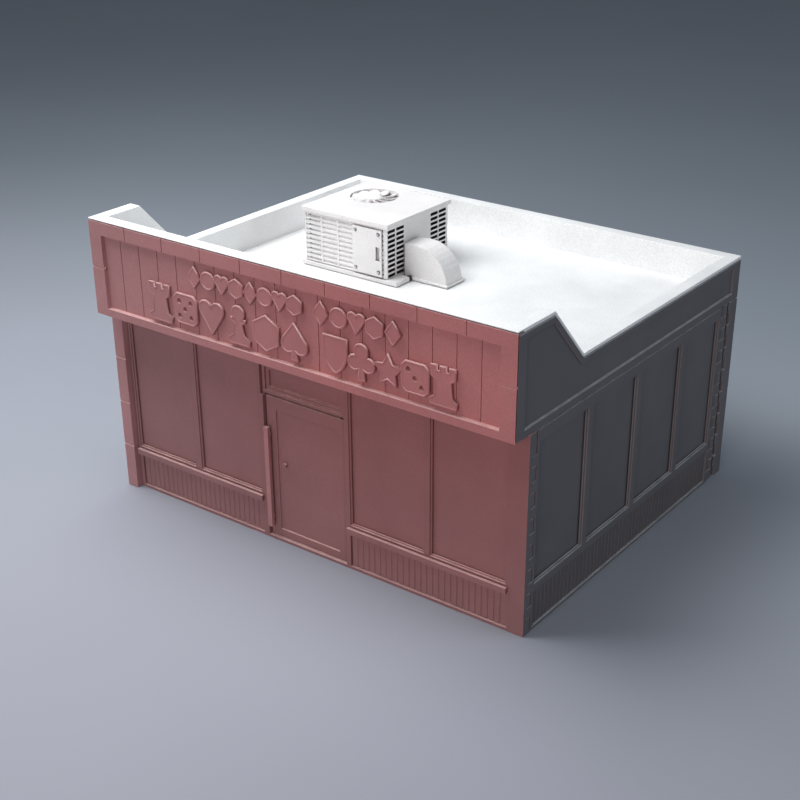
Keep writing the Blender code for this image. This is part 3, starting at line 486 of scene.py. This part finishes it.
# Roof unit: slots in the cabinet's four sides
ROWS = 10
SLOT_HIGH = 0.95 * MM
SLOT_DEEP = 0.5 * MM
VENT_DEEP = 2.2 * MM
low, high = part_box("unit_cabinet")
panel_low, panel_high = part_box("unit_access_panel")
duct_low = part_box("unit_duct")[0]
top_row = high.z - 1.0 * MM
bottom_row = low.z + 0.75 * MM
pitch = (top_row - bottom_row) / (ROWS - 1)
row_heights = [top_row - pitch * number for number in range(ROWS)]


def louvres(columns, axis, face, outward, deep):
    """Wedge cutters: deepest under each slot's upper edge, running out at its lower edge."""
    work = bmesh.new()
    for start, end in columns:
        for z in row_heights:
            upper, lower = z + SLOT_HIGH / 2, z - SLOT_HIGH / 2
            outline = [(face + outward * MM, upper), (face - outward * deep, upper),
                       (face - outward * deep, upper - SLOT_HIGH * 0.45),
                       (face - outward * deep * 0.05, lower), (face + outward * MM, lower)]
            prism(work, outline, start, end, axis)
    return work


front_columns = [(low.x + a * MM, low.x + b * MM) for a, b in ((0.5, 6.3), (7.1, 12.9), (13.7, 19.3))]
side_columns = [(low.y + a * MM, low.y + b * MM)
                for a, b in ((0.5, 4.1), (4.8, 8.6), (22.8, 26.6), (27.2, 31.0))]
back_columns = [(low.x + a * MM, low.x + b * MM)
                for a, b in ((0.9, 6.7), (7.5, 13.3), (19.5, 25.3), (26.1, 31.9))]
cabinet = bmesh.new()
box_into(cabinet, low, high)
well = bmesh.new()
fan_low, fan_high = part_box("unit_fan")
fan_middle = (fan_low + fan_high) / 2
WELL_RADIUS = 8.4 * MM
bmesh.ops.create_cone(well, cap_ends=True, segments=48, radius1=WELL_RADIUS, radius2=WELL_RADIUS,
                      depth=10 * MM,
                      matrix=Matrix.Translation((fan_middle.x, fan_middle.y, high.z)))
PANEL_GAP = 0.3 * MM
rim = bmesh.new()
box_into(rim, (panel_low.x - PANEL_GAP, low.y - MM, panel_low.z - PANEL_GAP),
         (panel_high.x + PANEL_GAP, low.y + 0.5 * MM, panel_high.z + PANEL_GAP))
cabinet = carved(cabinet, [well, rim,
                           louvres(front_columns, "X", low.y, -1, SLOT_DEEP),
                           louvres(back_columns, "X", high.y, 1, SLOT_DEEP),
                           louvres(side_columns, "Y", high.x, 1, VENT_DEEP),
                           louvres(side_columns, "Y", low.x, -1, VENT_DEEP)])
unit = piece_of("unit_cabinet_louvred", cabinet, UNIT, "lid", "white_print", "unit_cabinet")
unit.data.materials.append(SHADOW)
for face in unit.data.polygons:
    middle = face.center
    inside = min(high.x - middle.x, middle.x - low.x)
    at_side = any(a < middle.y < b for a, b in side_columns)
    if at_side and 0.02 * MM < inside < (VENT_DEEP + 0.1 * MM):
        face.material_index = 1
soften(unit, 0.08)


# Roof unit: painted shadow, a dark block in the curb's corner beside the duct
gap_shadow = bmesh.new()
curb_low, curb_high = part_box("unit_curb")
box_into(gap_shadow, (curb_high.x - 1.3 * MM, duct_low.y - 1.3 * MM, curb_low.z + 0.1 * MM),
         (curb_high.x + 0.03 * MM, duct_low.y - 0.05 * MM, curb_high.z + 0.03 * MM))
piece_of("unit_curb_gap_shadow", gap_shadow, SHADOW, "lid", "white_print")


# Roof unit: fan with curved blades and a stepped hub
HUB_PROFILE = ((1.2, 0.5), (2.1, 0.25), (2.5, -0.2), (2.5, -1.9))   # radius and height in mm
HUB_SIDES = 32
BLADE_STEPS = 8
BLADE_PARTS = 4
BLADE_THICK = 0.35 * MM
BLADE_DROP = 1.2 * MM
BLADE_CROWN = 0.3 * MM


def curved_fan(centre, blades, inner, outer, top):
    """Swept blades, each a thin curved sheet with thickness, and a stepped hub."""
    work = bmesh.new()
    for number in range(blades):
        start = 2 * math.pi * number / blades
        edges = []
        for step in range(BLADE_STEPS + 1):
            share = step / BLADE_STEPS
            radius = inner + (outer - inner) * share
            sweep = start + math.radians(26) * share ** 1.3
            wide = math.radians(23 + 4 * share)
            row = []
            for part in range(BLADE_PARTS + 1):
                across = part / BLADE_PARTS
                angle = sweep + wide * across
                rise = BLADE_CROWN * math.sin(math.pi * across) - BLADE_DROP * across
                row.append(Vector((centre.x + radius * math.cos(angle),
                                   centre.y + radius * math.sin(angle), top + rise)))
            edges.append(row)
        thick = Vector((0, 0, -BLADE_THICK))
        upper = [[work.verts.new(point) for point in row] for row in edges]
        lower = [[work.verts.new(point + thick) for point in row] for row in edges]
        for a in range(BLADE_STEPS):
            for b in range(BLADE_PARTS):
                work.faces.new((upper[a][b], upper[a + 1][b], upper[a + 1][b + 1], upper[a][b + 1]))
                work.faces.new((lower[a][b + 1], lower[a + 1][b + 1], lower[a + 1][b], lower[a][b]))
        for a in range(BLADE_STEPS):
            work.faces.new((upper[a + 1][0], upper[a][0], lower[a][0], lower[a + 1][0]))
            work.faces.new((upper[a][-1], upper[a + 1][-1], lower[a + 1][-1], lower[a][-1]))
        for b in range(BLADE_PARTS):
            work.faces.new((upper[0][b], upper[0][b + 1], lower[0][b + 1], lower[0][b]))
            work.faces.new((upper[-1][b + 1], upper[-1][b], lower[-1][b],
                            lower[-1][b + 1]))
    hub = []
    for radius, rise in HUB_PROFILE:
        hub.append([work.verts.new((centre.x + radius * MM * math.cos(2 * math.pi * k / HUB_SIDES),
                                    centre.y + radius * MM * math.sin(2 * math.pi * k / HUB_SIDES),
                                    top + rise * MM)) for k in range(HUB_SIDES)])
    for a, b in zip(hub, hub[1:]):
        for k in range(HUB_SIDES):
            after = (k + 1) % HUB_SIDES
            work.faces.new((a[k], a[after], b[after], b[k]))
    work.faces.new(hub[0])
    work.faces.new(list(reversed(hub[-1])))
    return work


fan = piece_of("unit_fan_curved", curved_fan(fan_middle, 11, 2.2 * MM, 7.7 * MM, fan_high.z),
               UNIT, "lid", "white_print", "unit_fan")
fan.data.shade_smooth()
fan.data.set_sharp_from_angle(angle=math.radians(35))

# ---------------------------------------------------------------- floor, light, camera

floor_mesh = bpy.data.meshes.new("floor")
HALF_FLOOR = 6.0
corners = ((-1, -1), (1, -1), (1, 1), (-1, 1))
floor_mesh.from_pydata([(x * HALF_FLOOR, y * HALF_FLOOR, 0) for x, y in corners], [], [(0, 1, 2, 3)])
floor = bpy.data.objects.new("floor", floor_mesh)
bpy.context.scene.collection.objects.link(floor)
floor.location.z = -0.00005
floor_paint, tree, shader = new_material("floor_paint")
spot = add(tree, "ShaderNodeTexCoord").outputs["Object"]
tint = spread(tree, noise(tree, spot, 6.0, 2.0), 0.3, 0.7, 0.97, 1.03)
# Painted coloured light on the floor: purplish in front, bluer towards the back.
depth = spread(tree, add(tree, "ShaderNodeSeparateXYZ", None, Vector=spot).outputs["Y"],
               -0.25, 0.20, 0.0, 1.0)
floor_tone_and_painted_light = blend_colours(tree, depth, (0.350, 0.345, 0.400), (0.350, 0.395, 0.445))
tree.links.new(add(tree, "ShaderNodeVectorMath", {"operation": "SCALE"}, i0=floor_tone_and_painted_light,
                   Scale=tint).outputs[0], shader.inputs["Base Color"])
shader.inputs["Roughness"].default_value = 0.75
floor_mesh.materials.append(floor_paint)
floor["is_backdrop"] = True

world = bpy.data.worlds.new("studio")
bpy.context.scene.world = world
world.use_nodes = True
sky = world.node_tree.nodes["Background"]
sky.inputs["Color"].default_value = (0.80, 0.88, 1.0, 1)
sky.inputs["Strength"].default_value = 0.16


def lamp(name, place, target, size, power, colour):
    """A square area light aimed at a point."""
    light = bpy.data.lights.new(name, "AREA")
    light.shape = "SQUARE"
    light.size = size
    light.energy = power
    light.color = colour
    holder = bpy.data.objects.new(name, light)
    bpy.context.scene.collection.objects.link(holder)
    holder.location = place
    aim = Vector(target) - Vector(place)
    holder.rotation_euler = aim.to_track_quat("-Z", "Y").to_euler()


lamp("overhead", (-0.13, -0.085, 0.34), (-0.11, -0.07, 0.0), 0.26, 1.50, (0.97, 0.985, 1.0))
lamp("front_fill", (0.22, -0.77, 0.22), (0, 0, 0.05), 0.40, 2.2, (1.0, 0.96, 0.96))
lamp("side_fill", (0.75, 0.35, 0.35), (0, 0, 0.04), 0.50, 1.3, (0.84, 0.93, 1.0))

camera = bpy.data.cameras.new("camera")
camera.sensor_width = 36.0
camera.lens = 64.04
camera.shift_x = -0.024
camera.shift_y = 0.0495
camera.clip_start = 0.02
camera.clip_end = 30.0
viewer = bpy.data.objects.new("camera", camera)
viewer.location = (0.2418, -0.3299, 0.2189)
viewer.rotation_euler = (math.radians(63.48), 0.0, math.radians(36.36))
bpy.context.scene.collection.objects.link(viewer)
bpy.context.scene.camera = viewer
bpy.context.scene.view_settings.view_transform = "Standard"

low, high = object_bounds()
